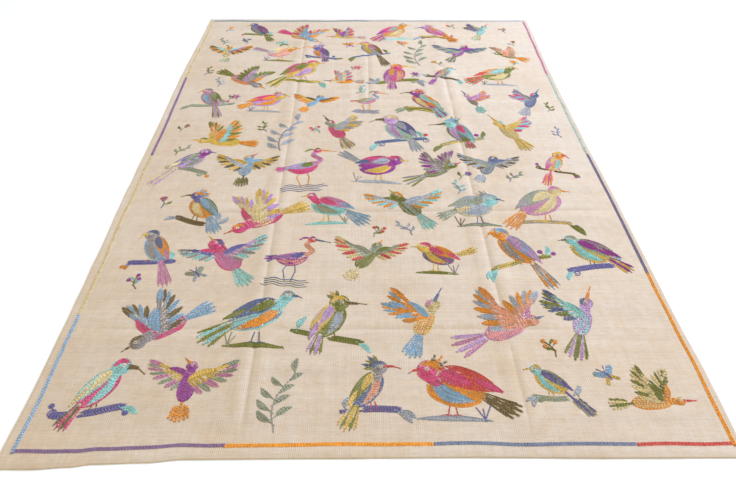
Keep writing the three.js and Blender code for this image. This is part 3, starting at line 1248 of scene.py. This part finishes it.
# The border line: how far it lies in from each edge, and its lengths of thread
BORDER_INSETS = {
    "near": ((-1005, 52), (-700, 44), (-400, 40), (1005, 42)),
    "far": ((-1005, 30), (1005, 30)),
    "left": ((-1515, 31), (0, 34), (800, 30), (1515, 22)),
    "right": ((-1515, 22), (0, 21), (1515, 26)),
}
Length = namedtuple("Length", "side since until dye")
BORDER = (
    Length("near", -972, -399, "mauve"),
    Length("near", -399, 169, "amber"),
    Length("near", 169, 721, "steel"),
    Length("near", 721, 984, "coral"),
    Length("left", -1468, -975, "haze"),
    Length("left", -975, -35, "sand"),
    Length("left", -35, 711, "mauve"),
    Length("left", 711, 1485, "sand"),
    Length("right", -1478, -785, "amber"),
    Length("right", -785, -25, "dusk"),
    Length("right", -25, 751, "frost"),
    Length("right", 751, 1485, "rose"),
    Length("far", -978, 5, "sea"),
    Length("far", 5, 975, "mist"),
)
BORDER_ROWS = 3
BORDER_WOBBLE = 1.3


def border_rows(part):
    """Rows of one length of the border line, with a hand's slight wobble."""
    along_edge = np.arange(part.since + 3.0, part.until - 2.0, 9.0)
    rng = random.Random(part.side + part.dye)
    wobble = sum(
        np.sin(along_edge / rng.uniform(26, 120) + rng.uniform(0, 6.3)) for _ in range(4)
    ) * BORDER_WOBBLE / 2
    inset = inset_at(BORDER_INSETS[part.side], along_edge) + wobble
    rows = []
    for lane in range(BORDER_ROWS):
        away = inset + (lane - (BORDER_ROWS - 1) / 2) * ROW_PITCH
        if part.side in ("near", "far"):
            side = -1 if part.side == "near" else 1
            row = np.stack([along_edge, side * (HALF_LENGTH - away)], 1)
        else:
            side = -1 if part.side == "left" else 1
            row = np.stack([side * (HALF_WIDTH - away), along_edge], 1)
        rows.append((row, part.dye))
    return rows


def chain_link():
    """One link of chain stitch, a unit long and wide: two plump strands that part towards its head."""
    mesh = bmesh.new()
    # crest: painted shade for the thread, 0.1 deep between the strands up to 1.0 on their tops
    crest = mesh.verts.layers.float.new("crest")
    for side in (-1, 1):
        strand = (
            ((-0.50, 0.19 * side, 0.04), 0.2),
            ((0.08, 0.52 * side, 0.02), 0.35),
            ((0.50, 0.31 * side, 0.12), 0.3),
            ((-0.02, 0.02 * side, 0.08), 0.1),
            ((0.02, 0.28 * side, 1.00), 1.0),
        )
        verts = []
        for spot, high in strand:
            vert = mesh.verts.new(spot)
            vert[crest] = high
            verts.append(vert)
        for i in range(4):
            mesh.faces.new((verts[i], verts[(i + 1) % 4], verts[4]))
        mesh.faces.new((verts[0], verts[2], verts[1]))
        mesh.faces.new((verts[0], verts[3], verts[2]))
    bmesh.ops.recalc_face_normals(mesh, faces=mesh.faces)
    data = bpy.data.meshes.new("chain_link")
    mesh.to_mesh(data)
    mesh.free()
    data.shade_smooth()
    return bpy.data.objects.new("chain_link", data)


Input = namedtuple("Input", "name kind value")
STITCH_INPUTS = (
    Input("Link", "NodeSocketObject", None),
    Input("Thread", "NodeSocketMaterial", None),
    Input("Stitch length", "NodeSocketFloat", STITCH_LENGTH * MM),
    Input("Overlap", "NodeSocketFloat", STITCH_OVERLAP),
    Input("Thread width", "NodeSocketFloat", THREAD_WIDTH * MM),
    Input("Thread height", "NodeSocketFloat", THREAD_HEIGHT * MM),
    Input("Sway", "NodeSocketFloat", THREAD_SWAY),
    Input("Seed", "NodeSocketInt", 0),
)


def stitch_tree():
    """Node tree that works chain stitch along every row that it is given."""
    group = bpy.data.node_groups.new("chain stitch", "GeometryNodeTree")
    face = group.interface
    face.new_socket(name="Rows", in_out="INPUT", socket_type="NodeSocketGeometry")
    identifiers = {}
    for entry in STITCH_INPUTS:
        socket = face.new_socket(name=entry.name, in_out="INPUT", socket_type=entry.kind)
        identifiers[entry.name] = socket.identifier
    face.new_socket(name="Stitches", in_out="OUTPUT", socket_type="NodeSocketGeometry")
    tree = Tree(group)
    rows = tree.node("NodeGroupInput")
    given = {socket.name: Value(tree, socket) for socket in rows.socket.node.outputs}

    def spread(low, high, offset):
        return tree.node(
            "FunctionNodeRandomValue", {"data_type": "FLOAT"},
            {2: low, 3: high, 8: given["Seed"] + offset}, out=1,
        )

    curves = tree.node("GeometryNodeMeshToCurve", {}, {0: given["Rows"]})
    share = tree.node("GeometryNodeInputNamedAttribute", {"data_type": "FLOAT"}, {"Name": "share"})
    long = given["Stitch length"] * share
    points = tree.node(
        "GeometryNodeCurveToPoints", {"mode": "LENGTH"},
        {"Curve": curves, "Length": long * spread(0.9, 1.1, 6)},
    )
    tangent = Value(tree, points.socket.node.outputs["Tangent"])
    facing = tree.node("FunctionNodeAlignRotationToVector", {"axis": "X"}, {"Vector": tangent})
    level = tree.node(
        "FunctionNodeAlignRotationToVector", {"axis": "Z", "pivot_axis": "X"},
        {"Rotation": facing, "Vector": (0, 0, 1)},
    )
    lean = tree.node("ShaderNodeCombineXYZ", {}, {2: spread(-1.0, 1.0, 1) * given["Sway"]})
    swayed = tree.node(
        "FunctionNodeRotateRotation", {"rotation_space": "LOCAL"},
        {0: level, 1: tree.node("FunctionNodeEulerToRotation", {}, {0: lean})},
    )
    size = tree.node("ShaderNodeCombineXYZ", {}, {
        0: long * given["Overlap"] * spread(0.9, 1.1, 2),
        1: given["Thread width"] * spread(0.92, 1.06, 3),
        2: given["Thread height"] * spread(0.88, 1.12, 4),
    })
    link = tree.node("GeometryNodeObjectInfo", {}, {"Object": given["Link"]})
    shape = Value(tree, link.socket.node.outputs["Geometry"])
    placed = tree.node(
        "GeometryNodeInstanceOnPoints", {},
        {"Points": points, "Instance": shape, "Rotation": swayed, "Scale": size},
    )
    shaded = tree.node(
        "GeometryNodeStoreNamedAttribute", {"data_type": "FLOAT", "domain": "INSTANCE"},
        {"Geometry": placed, "Name": "shade", "Value": spread(0.0, 1.0, 5)},
    )
    real = tree.node("GeometryNodeRealizeInstances", {}, {0: shaded})
    dyed = tree.node("GeometryNodeSetMaterial", {}, {"Geometry": real, "Material": given["Thread"]})
    tree.node("NodeGroupOutput", {}, {0: dyed})
    return group, identifiers


def thread_heights(spots, ahead):
    """Heights of the thread at spots: on the cloth, and across the bottom of a sharp crease."""
    steps = [face_height(*(spots + share * THREAD_SPAN * ahead).T) for share in (-1, -0.5, 0, 0.5, 1)]
    return np.maximum(steps[2], sum(steps) / len(steps)) + THREAD_REST


def row_mesh(name, rows):
    """The rows of a piece as bare lines on the cloth's face, each point with its dye."""
    rng = random.Random(name)
    spots = spots_of(rows)
    left = np.vstack([sideways(row) for row, _ in rows])
    px, py = drawn_in(*spots.T)
    heights = thread_heights(spots, np.stack([left[:, 1], -left[:, 0]], 1))
    tones = BORDER_TONES if name.startswith("border") else ROW_TONES
    edges, colours, shares = [], [], []
    first = 0
    for row, dye in rows:
        tone = rng.uniform(*tones)
        edges += [(i, i + 1) for i in range(first, first + len(row) - 1)]
        colours += [tuple(channel * tone for channel in linear(DYES[dye]))] * len(row)
        shares += [stitch_share(row)] * len(row)
        first += len(row)
    mesh = bpy.data.meshes.new(name)
    mesh.from_pydata((np.stack([px, py, heights], 1) * MM).tolist(), edges, [])
    layer = mesh.attributes.new("dye", "FLOAT_COLOR", "POINT")
    layer.data.foreach_set("color", np.array(colours, float).ravel())
    mesh.attributes.new("share", "FLOAT", "POINT").data.foreach_set("value", shares)
    return mesh


def embroider(name, rows, group, identifiers, link, thread, seed):
    """One piece of embroidery: stitches worked along its rows, then made a plain mesh."""
    worker = put(name + "_rows", row_mesh(name + "_rows", rows))
    stitching = worker.modifiers.new("stitches", "NODES")
    stitching.node_group = group
    for entry in STITCH_INPUTS:
        value = {"Link": link, "Thread": thread, "Seed": seed}.get(entry.name, entry.value)
        stitching[identifiers[entry.name]] = value
    depsgraph = bpy.context.evaluated_depsgraph_get()
    mesh = bpy.data.meshes.new_from_object(worker.evaluated_get(depsgraph), depsgraph=depsgraph)
    mesh.name = name
    bpy.data.objects.remove(worker)
    spots = np.zeros(len(mesh.vertices) * 3)
    mesh.vertices.foreach_get("co", spots)
    write_map(mesh, spots.reshape(-1, 3)[corner_points(mesh), :2])
    piece = finished(name, mesh)
    return piece


def make_rug():
    """The cloth, its border line and its figures."""
    cloth = kilim_sheet(ground_wool())
    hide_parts("kilim")
    group, identifiers = stitch_tree()
    link = chain_link()
    thread = thread_wool()
    work = [(f"border_{part.side}_{i + 1:02d}", border_rows(part)) for i, part in enumerate(BORDER)]
    work += panels()
    stitched = [
        embroider(name, rows, group, identifiers, link, thread, seed)
        for seed, (name, rows) in enumerate(work)
    ]
    bpy.data.objects.remove(link)


place_camera()
place_lights()
place_floor()
make_rug()
